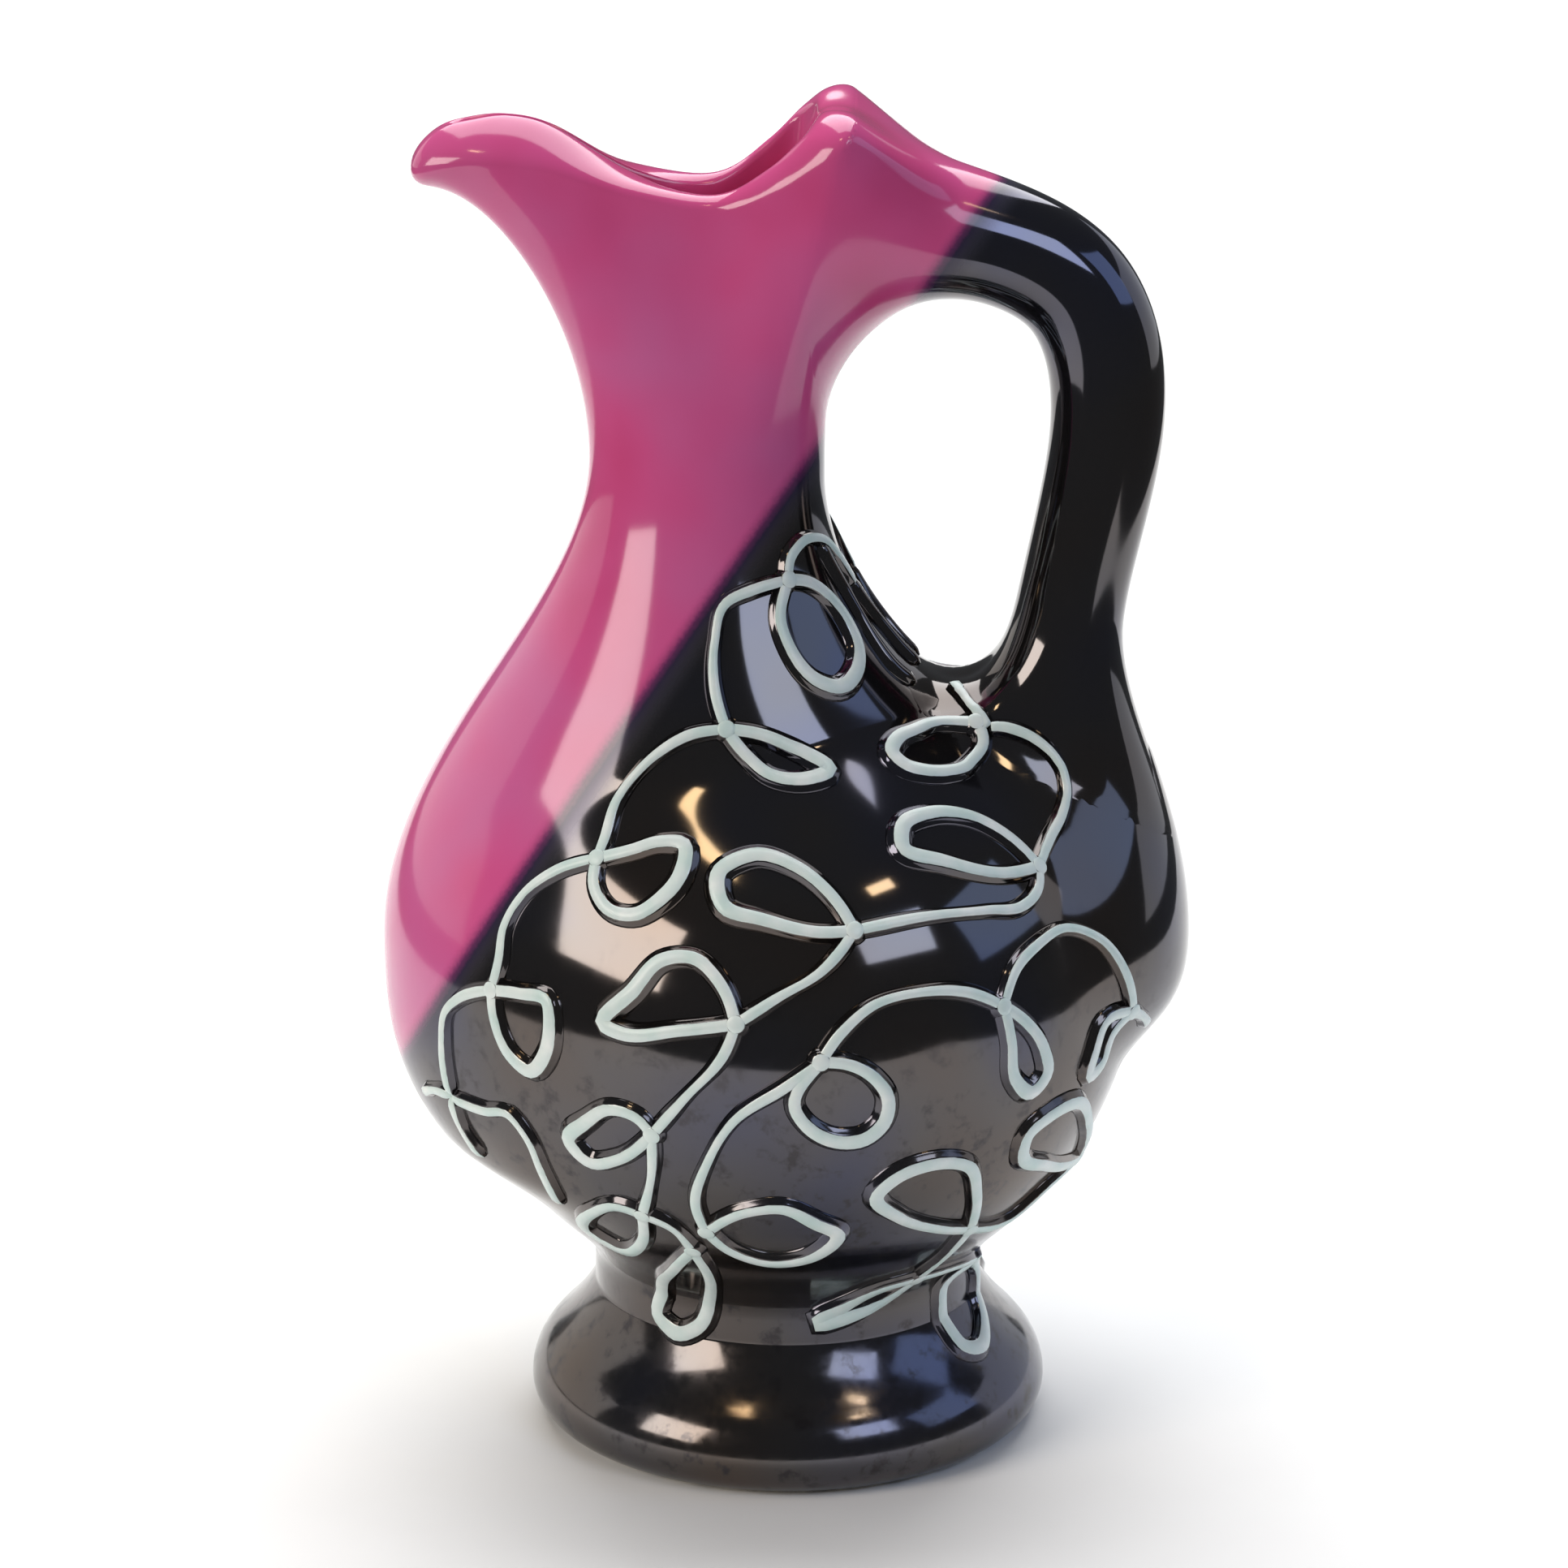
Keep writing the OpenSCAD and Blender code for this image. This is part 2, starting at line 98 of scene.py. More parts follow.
def hermite(a: Any, sa: Any, b: Any, sb: Any, t: float) -> Any:
    """Cubic from a to b.

    Args:
        a: Start, a number or a vector.
        sa: Slope at the start.
        b: End.
        sb: Slope at the end.
        t: Place from 0 to 1.

    Returns:
        The value at t.
    """
    t2, t3 = t * t, t * t * t
    return a * (2 * t3 - 3 * t2 + 1) + sa * (t3 - 2 * t2 + t) + b * (3 * t2 - 2 * t3) + sb * (t3 - t2)


def interval(knots: Knots, u: float) -> int:
    """Number of the knot, up to the last but one, that a place comes after."""
    return sum(u >= knot[0] for knot in knots[1:-1])


def curve(knots: Knots, u: float) -> float:
    """Cubic through knots of place, value and slope.

    Args:
        knots: The knots, in order of place.
        u: Place to read.

    Returns:
        The value at u, held at the ends.
    """
    i = interval(knots, u)
    (u0, a, sa), (u1, b, sb) = knots[i], knots[i + 1]
    t = max(0.0, min(1.0, (u - u0) / (u1 - u0)))
    return hermite(a, sa * (u1 - u0), b, sb * (u1 - u0), t)


def spline(points: Sequence[Vector], u: float) -> Vector:
    """Smooth curve through points at even places.

    Args:
        points: The points.
        u: Place, one unit a point.

    Returns:
        The point at u.
    """
    last = len(points) - 1
    i = min(math.floor(u), last - 1)
    before, a, b, after = (points[max(0, min(last, k))] for k in range(i - 1, i + 3))
    return hermite(a, (b - before) / 2, b, (after - a) / 2, u - i)


def table(knots: Knots, u: float) -> Vector:
    """Values read between knots of place and values, by a smooth curve.

    Args:
        knots: Rows of a place and its values.
        u: Place to read.

    Returns:
        The values at u.
    """
    i = interval(knots, u)
    rows = [Vector(k[1:]) for k in knots]
    return spline(rows, i + (u - knots[i][0]) / (knots[i + 1][0] - knots[i][0]))


def smooth_max(a: float, b: float, k: float) -> float:
    """The larger of two values, rounded over a fillet of size k."""
    return max(a, b) + max(k - abs(a - b), 0.0) ** 2 / (4 * k)


def ray(angle: float, d: float, a: float, b: float) -> float:
    """Distance along a ray to an ellipse.

    Args:
        angle: Angle of the ray.
        d: Place of the ellipse's middle along X.
        a: Half width along X.
        b: Half depth along Y.

    Returns:
        The distance, or 0 where the ray doesn't start inside.
    """
    if a <= 0 or b <= 0 or abs(d) >= a:
        return 0.0
    c, s = math.cos(math.radians(angle)), math.sin(math.radians(angle))
    p, q = c * c / (a * a) + s * s / (b * b), -d * c / (a * a)
    return (-q + math.sqrt(q * q - p * (d * d / (a * a) - 1))) / p


def ladder(a: float, b: float, n: int) -> list[float]:
    """Even steps from a to b, both ends included."""
    return [a + (b - a) * i / n for i in range(n + 1)]


def turned(r: float, z: float) -> Ring:
    """Ring of a radius at a height, as a point by angle."""
    return lambda a: Vector((r * math.cos(math.radians(a)), r * math.sin(math.radians(a)), z))


def closed(rows: Sequence[Sequence[Vector]]) -> list[list[Vector]]:
    """Rows that end where they start."""
    return [[*row, row[0]] for row in rows]


def lay(bm: bmesh.types.BMesh, rows: Sequence[Sequence[Vector]], stretch: float = 1.0) -> None:
    """Lays one grid of faces over rows of places and closes what meets.

    Args:
        bm: The mesh that gets the faces.
        rows: Rows of points, in millimetres.
        stretch: Share of the UV's width that the rows fill.
    """
    down, across = len(rows) - 1, len(rows[0]) - 1
    made = bmesh.ops.create_grid(bm, x_segments=across, y_segments=down, size=1.0, calc_uvs=True)
    for v in made["verts"]:
        i = round((v.co.x + 1) / 2 * across)
        j = round((v.co.y + 1) / 2 * down)
        v.co = rows[j][i] * MM
    uv = bm.loops.layers.uv.active
    if uv and stretch != 1.0:
        for loop in {loop for v in made["verts"] for loop in v.link_loops}:
            loop[uv].uv.x *= stretch
    bmesh.ops.remove_doubles(bm, verts=made["verts"], dist=WELD)


def finish_piece(name: str, bm: bmesh.types.BMesh, material: Material) -> Piece:
    """Makes an object of a mesh, with outward faces and smooth shading.

    Args:
        name: Name of the piece.
        bm: Its mesh, which is freed.
        material: Its finish.

    Returns:
        The object, at the origin.
    """
    bmesh.ops.recalc_face_normals(bm, faces=bm.faces)
    for face in bm.faces:
        face.smooth = True
    mesh = bpy.data.meshes.new(name)
    bm.to_mesh(mesh)
    bm.free()
    mesh.materials.append(material)
    piece = bpy.data.objects.new(name, mesh)
    bpy.context.scene.collection.objects.link(piece)
    LOG.info("%s: %d faces", name, len(mesh.polygons))
    return piece


def linear(code: str) -> tuple[float, float, float, float]:
    """Linear colour of an sRGB hex value.

    Args:
        code: The hex value, such as "#a84375".

    Returns:
        Red, green, blue and an alpha of 1.
    """
    parts = [int(code[i:i + 2], 16) / 255 for i in (1, 3, 5)]
    r, g, b = (c / 12.92 if c <= 0.04045 else ((c + 0.055) / 1.055) ** 2.4 for c in parts)
    return r, g, b, 1.0


def add(tree: bpy.types.NodeTree, kind: str, inputs: dict[Any, Any] | None = None, **settings: Any) -> Any:
    """Adds one node with its settings, values and links.

    Args:
        tree: The node tree.
        kind: The shader node's type, such as "Bump".
        inputs: Values or output sockets for its inputs, by name or number.
        **settings: Its own settings.

    Returns:
        The node.
    """
    made = tree.nodes.new("ShaderNode" + kind)
    for name, value in settings.items():
        setattr(made, name, value)
    for key, value in (inputs or {}).items():
        if isinstance(value, bpy.types.NodeSocket):
            tree.links.new(value, made.inputs[key])
        else:
            made.inputs[key].default_value = value
    return made


def per_mm(size: float) -> float:
    """Scale of a pattern on metre coordinates whose features are a size in millimetres."""
    return 1000.0 / size


@dataclass(frozen=True)
class Nodes:
    """Nodes of one material, on object coordinates. The methods give output sockets."""

    material: Material
    where: Any

    @classmethod
    def start(cls, name: str) -> Nodes:
        """Makes a material that has only its coordinates.

        Args:
            name: Its name.

        Returns:
            Its nodes.
        """
        material = bpy.data.materials.new(name)
        material.use_nodes = True
        material.node_tree.nodes.clear()
        return cls(material, add(material.node_tree, "TexCoord").outputs["Object"])

    def out(self, kind: str, inputs: dict[Any, Any], output: int | str = 0, **settings: Any) -> Any:
        """One output of a new node."""
        return add(self.material.node_tree, kind, inputs, **settings).outputs[output]

    def axis(self, name: str) -> Any:
        """Place along X, Y or Z, in metres."""
        return self.out("SeparateXYZ", {"Vector": self.where}, name)

    def noise(self, size: float, detail: float, roughness: float = 0.5) -> Any:
        """Cloudy pattern with features of a size."""
        inputs = {"Scale": per_mm(size), "Detail": detail, "Roughness": roughness}
        return self.out("TexNoise", {"Vector": self.where, **inputs})

    def span(self, value: Any, low: float, high: float, start: float = 0.0, end: float = 1.0, **settings: Any
             ) -> Any:
        """Number that goes from start to end where a value goes from low to high."""
        inputs = {"From Min": low, "From Max": high, "To Min": start, "To Max": end}
        return self.out("MapRange", {"Value": value, **inputs}, **settings)

    def calc(self, operation: str, *values: Any) -> Any:
        """Result of one operation."""
        return self.out("Math", dict(enumerate(values)), operation=operation)

    def mix(self, share: Any, first: Any, second: Any) -> Any:
        """Colour between two colours."""
        return self.out("Mix", {0: share, 6: first, 7: second}, 2, data_type="RGBA")

    def blend(self, share: Any, first: Any, second: Any) -> Any:
        """Number between two numbers."""
        return self.out("Mix", {0: share, 2: first, 3: second})

    def ramp(self, value: Any, stops: Sequence[tuple[float, str]]) -> Any:
        """Colour along a value.

        Args:
            value: The socket that is read.
            stops: Places and hex colours.

        Returns:
            The colour.
        """
        made = add(self.material.node_tree, "ValToRGB", {"Fac": value})
        elements = made.color_ramp.elements
        for i, (place, code) in enumerate(stops):
            element = elements[i] if i < 2 else elements.new(place)
            element.position = place
            element.color = linear(code)
        return made.outputs["Color"]

    def surface(self, inputs: dict[str, Any]) -> Material:
        """Ends the nodes in one shader.

        Args:
            inputs: Values and sockets of the shader.

        Returns:
            The material.
        """
        shader = self.out("BsdfPrincipled", inputs)
        add(self.material.node_tree, "OutputMaterial", {"Surface": shader})
        return self.material


@dataclass(frozen=True)
class Coat:
    """Sockets of a coat of glaze."""

    colour: Any
    metal: Any
    rough: Any

    def under(self, nodes: Nodes, share: Any, colour: Any, rough: float) -> Coat:
        """This coat where another without metal covers a share of it.

        Args:
            nodes: Nodes of the material.
            share: Share that is covered.
            colour: Colour of the cover.
            rough: Roughness of the cover.

        Returns:
            What is seen of both.
        """
        metal = nodes.blend(share, self.metal, 0.0)
        return Coat(nodes.mix(share, self.colour, colour), metal, nodes.blend(share, self.rough, rough))


@dataclass(frozen=True)
class Glaze:
    """Fired glaze on earthenware: a pink gloss sprayed against a black metal lustre.

    The pink is a plain glassy coat with cloudy tone. The black carries a thin metal film, so it mirrors like
    hematite, with bronze and violet patches, and with dull flecks low down where the film is thin. The two meet
    in a soft sprayed edge along one slanting plane, mirrored over the middle of the vessel.
    """

    pink: str = "#d1538d"
    crimson: str = "#c43b71"
    lilac: str = "#cb659d"
    plum: str = "#6d2f5e"
    navy: str = "#2f2840"
    film: str = "#585555"
    bronze: str = "#5b514a"
    violet: str = "#4d4f60"
    thin_film: str = "#413e40"
    clay: str = "#d8d0c2"
    mint: str = "#dfeae7"
    mint_deep: str = "#c9dfda"
    mint_pale: str = "#edf3f0"
    edge_rise: float = 1.532
    edge_splay: float = 0.365
    edge_height: float = 191.6
    edge_half: float = 11.0
    spray_grain: float = 0.8
    spray_drift: float = 1.2
    cloud: float = 38.0
    patch: float = 45.0
    fleck: float = 5.0
    dull_below: float = 70.0
    clear_above: float = 125.0
    film_metal: float = 0.95
    black_rough: float = 0.07
    pink_rough: float = 0.125
    wave: float = 16.0
    wave_height: float = 0.4
    wave_strength: float = 0.12
    crest_half: Place = (0.105, 0.125)
    crest_drift: float = 0.05
    crest_grain: float = 2.2
    slip_cloud: float = 7.0
    slip_rough: float = 0.42
    wipe: float = 6.0
    wipe_drift: float = 0.8
    wipe_height: Place = (0.75, 0.95)
    clay_rough: float = 0.8

    def build(self, name: str, trailed: bool) -> Material:
        """Makes the material.

        Args:
            name: Its name.
            trailed: True on the vine, whose crest is bare mint slip.

        Returns:
            The material.
        """
        nodes = Nodes.start(name)
        coat = self._coats(nodes, self._sprayed(nodes))
        coat = self._slip(nodes, coat) if trailed else self._bare_foot(nodes, coat)
        bump = nodes.out("Bump", {
            "Strength": self.wave_strength, "Distance": self.wave_height * MM,
            "Height": nodes.noise(self.wave, 1.0),
        })
        return nodes.surface({
            "Base Color": coat.colour, "Metallic": coat.metal, "Roughness": coat.rough, "Normal": bump,
            "IOR": 1.5, "Coat Weight": 0.2, "Coat Roughness": 0.06,
        })

    def _sprayed(self, nodes: Nodes) -> Any:
        """Share of the pink coat, from 0 in the black to 1.

        Args:
            nodes: Nodes of the material.

        Returns:
            The share.
        """
        line = nodes.calc("MULTIPLY_ADD", nodes.axis("X"), -self.edge_rise, nodes.axis("Z"))
        depth = nodes.calc("ABSOLUTE", nodes.axis("Y"))
        plane = nodes.calc("MULTIPLY_ADD", depth, -self.edge_splay, line)
        spray = nodes.noise(self.spray_grain, 3.0)
        mist = nodes.calc("MULTIPLY_ADD", spray, self.spray_drift * MM, plane)
        middle, half = self.edge_height * MM, self.edge_half * MM
        return nodes.span(mist, middle - half, middle + half, interpolation_type="SMOOTHSTEP")

    def _coats(self, nodes: Nodes, sprayed: Any) -> Coat:
        """The pink and the black, with the tones that the edge goes through.

        Args:
            nodes: Nodes of the material.
            sprayed: Share of the pink coat.

        Returns:
            Both in one coat.
        """
        cloud, patch = nodes.noise(self.cloud, 2.0), nodes.noise(self.patch, 1.5)
        pink = nodes.ramp(cloud, ((0.26, self.crimson), (0.5, self.pink), (0.76, self.lilac)))
        black = nodes.ramp(patch, ((0.3, self.bronze), (0.5, self.film), (0.7, self.violet)))
        fleck = nodes.noise(self.fleck, 6.0, 0.65)
        low = nodes.span(nodes.axis("Z"), self.dull_below * MM, self.clear_above * MM, 1.0, 0.0)
        thin = nodes.calc("MULTIPLY", nodes.span(fleck, 0.54, 0.66), low)
        black = nodes.mix(thin, black, linear(self.thin_film))
        # From the black the edge goes through navy and plum, and the metal ends where the navy starts.
        edge = nodes.ramp(sprayed, ((0.0, self.navy), (0.38, self.navy), (0.58, self.plum), (0.84, self.pink)))
        colour = nodes.mix(nodes.span(sprayed, 0.52, 0.84), edge, pink)
        colour = nodes.mix(nodes.span(sprayed, 0.4, 0.0), colour, black)
        metal = nodes.span(sprayed, 0.45, 0.0, 0.0, self.film_metal)
        matt = nodes.span(fleck, 0.4, 0.75, 0.03, 0.18)
        gloss = nodes.span(sprayed, 0.0, 1.0, self.black_rough, self.pink_rough)
        return Coat(colour, metal, nodes.calc("MULTIPLY_ADD", matt, low, gloss))

    def _slip(self, nodes: Nodes, coat: Coat) -> Coat:
        """The bare mint crest over the coats, by the strip's own UV.

        Args:
            nodes: Nodes of the material.
            coat: The coats.

        Returns:
            The coats with the crest.
        """
        uv = nodes.out("UVMap", {}, uv_map="across")
        across = nodes.out("SeparateXYZ", {"Vector": uv}, "X")
        moved = nodes.calc("MULTIPLY_ADD", nodes.noise(self.crest_grain, 2.0), self.crest_drift, across)
        off = nodes.calc("ABSOLUTE", nodes.calc("SUBTRACT", moved, CREST_PLACE + self.crest_drift / 2))
        full, none = self.crest_half
        tone = nodes.noise(self.slip_cloud, 3.0)
        mint = nodes.ramp(tone, ((0.3, self.mint_deep), (0.6, self.mint), (0.75, self.mint_pale)))
        return coat.under(nodes, nodes.span(off, none, full), mint, self.slip_rough)

    def _bare_foot(self, nodes: Nodes, coat: Coat) -> Coat:
        """Bare clay on the ring that the foot stands on.

        Args:
            nodes: Nodes of the material.
            coat: The coats.

        Returns:
            The coats with the ring wiped.
        """
        wipe = nodes.noise(self.wipe, 2.0)
        level = nodes.calc("MULTIPLY_ADD", wipe, self.wipe_drift * MM, nodes.axis("Z"))
        bare, glazed = self.wipe_height
        share = nodes.span(level, glazed * MM, bare * MM)
        return coat.under(nodes, share, linear(self.clay), self.clay_rough)


@dataclass(frozen=True)
class PaleFloor:
    """Matt pale paper under the ewer, with a faint grain that keeps it from looking blank."""

    colour: str = "#f4f4f3"
    light: str = "#f6f6f5"
    grain: float = 30.0
    rough: float = 0.75

    def build(self) -> Material:
        """Makes the material.

        Returns:
            The material.
        """
        nodes = Nodes.start("pale_paper")
        tone = nodes.ramp(nodes.noise(self.grain, 2.0), ((0.3, self.colour), (0.7, self.light)))
        return nodes.surface({"Base Color": tone, "Roughness": self.rough})


@dataclass
class Vessel:
    """Foot, belly and neck in one run of glaze, from under the foot over the lip and down the inside.

    Rows of foot_flare, left, right, depth, middle_line, tail_reach and tail_depth hold a height, a value and its
    slope, and rows of under_foot a radius and a height. Rows of rim_line and edge_line are points from the middle
    of the crest to the tip of the spout, towards +Y. Rows of roll hold an angle round the mouth, the swell of the
    lip there and how level it comes in. A pull is how hard a wall holds its direction at an end.
    """

    foot_radius: float = 52.0
    foot_height: float = 28.0
    foot_lip: float = 13.2
    foot_tuck: float = 7.0
    foot_flare: Knots = ((6.6, 52, 0), (16.6, 47.3, -1.02), (28, 39, -0.45))
    under_foot: Knots = (
        (0, 22), (16.5, 22), (31.5, 22), (32.7, 21.6), (33.4, 20.4), (35.43, 15.4), (37.86, 8.8), (40.29, 2.2),
        (41.4, 0.3), (41.8, 0), (43.4, 0),
    )
    waist_radius: float = 39.0
    waist_fillet: float = 8.0
    belly_radius: float = 70.0
    belly_middle: float = 97.0
    shoulder_rise: float = 58.0
    wall: float = 5.0
    floor: float = 35.0
    fillet: float = 12.0
    skirt_base: float = 48.0
    left: Knots = ((48, -38.5, -2.2), (64, -71, -0.75), (102, -80.5, 0), (153, -59.7, 0.66), (200, -38.8, 0))
    right: Knots = ((48, 20, 0), (102, 36, 0), (153, 30, -1.06), (196, 7.2, 0), (200, 7.2, 0))
    depth: Knots = ((48, 26, 1.8), (64, 45, 0.4), (102, 50, 0), (153, 37, -0.45), (200, 20, 0))
    middle_line: Knots = ((102, 0, 0), (153, -12, -0.3), (200, -15.8, 0))
    tail_base: float = 70.0
    tail_end: float = 153.5
    tail_heel: float = 12.0
    tail_fillet: float = 6.0
    tail_reach: Knots = ((70, 50, 2.6), (102, 80, 0), (137.5, 72.5, -0.35), (153.5, 26, -8))
    tail_depth: Knots = ((70, 18, 1.2), (105, 42, 0), (153, 17.5, -0.4))
    throat_height: float = 200.0
    throat_pull: float = 70.0
    inside_pull: float = 62.0
    rim_pull: float = 46.0
    spout_lift: float = 6.0
    trough_pull: Place = (14.0, 20.0)
    rim_line: Knots = (
        (14, 0, 267.1), (13.6, 15.96, 267.6), (9.5, 21, 264), (-1, 18, 256), (-14, 13, 250.8),
        (-30, 11.5, 253.3), (-46, 10.6, 258.1), (-60, 9.4, 259.3), (-68.4, 6, 256.1), (-69, 0, 253.3),
    )
    edge_line: Knots = (
        (5.5, 0, 267.1), (5, 8.4, 267.2), (1.5, 12.6, 263), (-5, 11, 256.5), (-15, 6.5, 251.9),
        (-30, 1.8, 256.4), (-45, 0.9, 265.1), (-54, 0.7, 267.3), (-61.5, 0.6, 266.4), (-63, 0, 265.7),
    )
    roll: Knots = (
        (0, 1.0, 0), (20, 1.0, 0), (40, 1.2, 0), (60, 1.7, 0), (80, 1.55, 0.25), (100, 1.0, 0.95),
        (120, 1.0, 1), (140, 1.1, 1), (160, 1.4, 1), (180, 1.7, 1),
    )
    sides: int = 160

    def middle(self, z: float) -> float:
        """Middle of the rings at a height."""
        return curve(self.middle_line, z)

    def _ball(self, angle: float, z: float, t: float) -> float:
        """Reach of the round belly, less a wall.

        Args:
            angle: Angle round the vessel.
            z: Height.
            t: The wall.

        Returns:
            The distance from the middle of the rings.
        """
        r = self.belly_radius - t
        f = (z - self.belly_middle) / (r if z < self.belly_middle else self.shoulder_rise - t)
        b = r * math.sqrt(max(0.0, 1 - f * f))
        return ray(angle, -self.middle(z), b, b)

    def _neck(self, angle: float, z: float, t: float) -> float:
        """Reach of the skirt and the neck, less a wall t."""
        a, b = curve(self.left, z), curve(self.right, z)
        return 0.0 if z < self.skirt_base else ray(
            angle, (a + b) / 2 - self.middle(z), (b - a) / 2 - t, curve(self.depth, z) - t)

    def _tail(self, angle: float, z: float) -> float:
        """Reach of the tail of the handle on the belly."""
        a, heel = curve(self.tail_reach, z) - self.middle(z), self.tail_heel
        return 0.0 if not self.tail_base <= z <= self.tail_end else ray(
            angle, (a - heel) / 2, (a + heel) / 2, curve(self.tail_depth, z))

    def skin(self, angle: float, z: float) -> float:
        """Reach of the outside.

        Args:
            angle: Angle round the vessel.
            z: Height.

        Returns:
            The distance from the middle of the rings.
        """
        r = self._ball(angle, z, 0)
        if z < self.belly_middle:
            r = smooth_max(r, self.waist_radius, self.waist_fillet)
        r = smooth_max(r, self._neck(angle, z, 0), self.fillet)
        return smooth_max(r, self._tail(angle, z), self.tail_fillet)

    def hollow(self, angle: float, z: float) -> float:
        """Reach of the inside at an angle and height."""
        return smooth_max(self._ball(angle, z, self.wall), self._neck(angle, z, self.wall), self.fillet)

    def _polar(self, angle: float, r: float, z: float) -> Vector:
        """Point at a reach from the middle of the rings."""
        a = math.radians(angle)
        return Vector((self.middle(z) + r * math.cos(a), r * math.sin(a), z))

    def foot_edge(self, t: float) -> Vector:
        """Profile of the foot.

        Args:
            t: Place from 0 on the ring to 1 at the widest and 2 at the waist.

        Returns:
            Radius and height.
        """
        half, tuck = self.foot_lip / 2, self.foot_tuck
        if t <= 1:
            s = math.radians(90 * t)
            return Vector((self.foot_radius - tuck + tuck * math.sin(s), half * (1 - math.cos(s))))
        z = half + (self.foot_height - half) * (t - 1)
        return Vector((curve(self.foot_flare, z), z))

    def outside(self, angle: float, z: float) -> Vector:
        """Point on the outside, from the lip of the foot up to the throat.

        Args:
            angle: Angle round the vessel.
            z: Height.

        Returns:
            The point.
        """
        if z >= self.foot_height:
            return self._polar(angle, self.skin(angle, z), z)
        low, high = 0.0, 2.0
        for _ in range(24):
            t = (low + high) / 2
            low, high = (t, high) if self.foot_edge(t).y < z else (low, t)
        return turned(self.foot_edge(low).x, z)(angle)

    @staticmethod
    def _round(line: Knots, angle: float) -> Vector:
        """Point on a loop that is given by half and mirrored over the middle plane.

        Args:
            line: Points from the crest to the tip of the spout.
            angle: Angle round the mouth.

        Returns:
            The point.
        """
        points = [Vector(p) for p in line]
        turn = angle % 360
        half = min(turn, 360 - turn) / 180
        ends = [points[1] * MIRROR, *points, points[-2] * MIRROR]
        p = spline(ends, 1 + half * (len(points) - 1))
        return p * MIRROR if turn > 180 else p

    def _lean(self, angle: float) -> Vector:
        """Way in which the wall reaches the rim: upright, and outward under the spout."""
        c, lift = min(math.cos(math.radians(angle)), 0.0), self.spout_lift
        return Vector((self.rim_pull * c, 0, lift + (self.rim_pull - lift) * (1 + c)))

    def upper(self, angle: float, s: float) -> Vector:
        """Outside of the neck by share: below 0 under the throat, 1 at the rim, then round the lip to 2.

        Args:
            angle: Angle round the vessel.
            s: Share of the way up.

        Returns:
            The point.
        """
        if s < 0:
            return self.outside(angle, self.throat_height + self.throat_pull * s)
        rim, lean = self._round(self.rim_line, angle), self._lean(angle)
        if s <= 1:
            foot = self.outside(angle, self.throat_height)
            return hermite(foot, Vector((0, 0, self.throat_pull)), rim, lean, s)
        turn = angle % 360
        swell, over = table(self.roll, min(turn, 360 - turn))
        edge = self._round(self.edge_line, angle)
        across = edge - rim
        size = across.length
        level = Vector((across.x, across.y, 0)).normalized()
        down = (level * over + Vector((0, 0, over - 1))) * swell * size
        return hermite(rim, lean.normalized() * swell * size, edge, down, s - 1)

    def upper_inside(self, angle: float, s: float) -> Vector:
        """Inside of the neck.

        Args:
            angle: Angle round the vessel.
            s: Share of the way from the throat at 0 to the lip at 1.

        Returns:
            The point.
        """
        foot = self._polar(angle, self.hollow(angle, self.throat_height), self.throat_height)
        c, (out, fall) = min(math.cos(math.radians(angle)), 0.0), self.trough_pull
        lean = Vector((out * c, 0, self.rim_pull + fall * c))
        return hermite(foot, Vector((0, 0, self.inside_pull)), self._round(self.edge_line, angle), lean, s)

    def _rings(self) -> list[Ring]:
        """Every ring from the middle under the foot to the middle of the floor inside.

        Returns:
            The rings, each as a point by angle.
        """
        foot, tail, throat, floor = self.foot_height, self.tail_end, self.throat_height, self.floor
        rings = [turned(r, z) for r, z in self.under_foot]
        rings += [turned(p.x, p.y) for p in map(self.foot_edge, ladder(0, 1, 12) + ladder(1.05, 1.95, 18))]
        heights = [foot - 0.35, foot + 0.05, foot + 0.6] + ladder(foot + 1.6, tail - 16, 60)
        heights += ladder(tail - 15, tail + 4, 26) + ladder(tail + 6, throat - 2, 22)
        rings += [lambda a, z=z: self.outside(a, z) for z in heights]
        rings += [lambda a, s=s: self.upper(a, s) for s in ladder(0, 1, 34) + ladder(1.05, 1.98, 18)]
        rings += [lambda a, s=s: self.upper_inside(a, s) for s in ladder(1, 0, 26)]
        rings += [lambda a, z=z: self._polar(a, self.hollow(a, z), z) for z in ladder(throat - 3, floor + 2, 46)]
        rings += [lambda a, f=f: self._polar(a, self.hollow(a, floor) * f, floor) for f in (0.95, 0.6, 0.3, 0)]
        return rings

    def build(self, material: Material) -> Piece:
        """Makes the vessel.

        Args:
            material: Its glaze.

        Returns:
            The piece, which stands for the foot, the belly and the neck.
        """
        bm = bmesh.new()
        turns = ladder(0, 360, self.sides)[:-1]
        lay(bm, closed([[ring(a) for a in turns] for ring in self._rings()]))
        piece = finish_piece("vessel", bm, material)
        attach(piece, BODY)
        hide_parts("foot", "belly", "neck")
        return piece


@dataclass(frozen=True)
class Landing:
    """End of the handle, where the bar flares out onto a wall.

    The rows of loop hold an angle round the bar and a place on the wall. The rows of pulls hold an angle, the
    pull of the bar and the pull of the wall.
    """

    loop: Knots
    middle: Place
    pulls: Knots
    reach: float  # step along the wall that gives its slope
    start: float  # place on the bar where the flare starts
    way: float  # step along the bar towards the wall


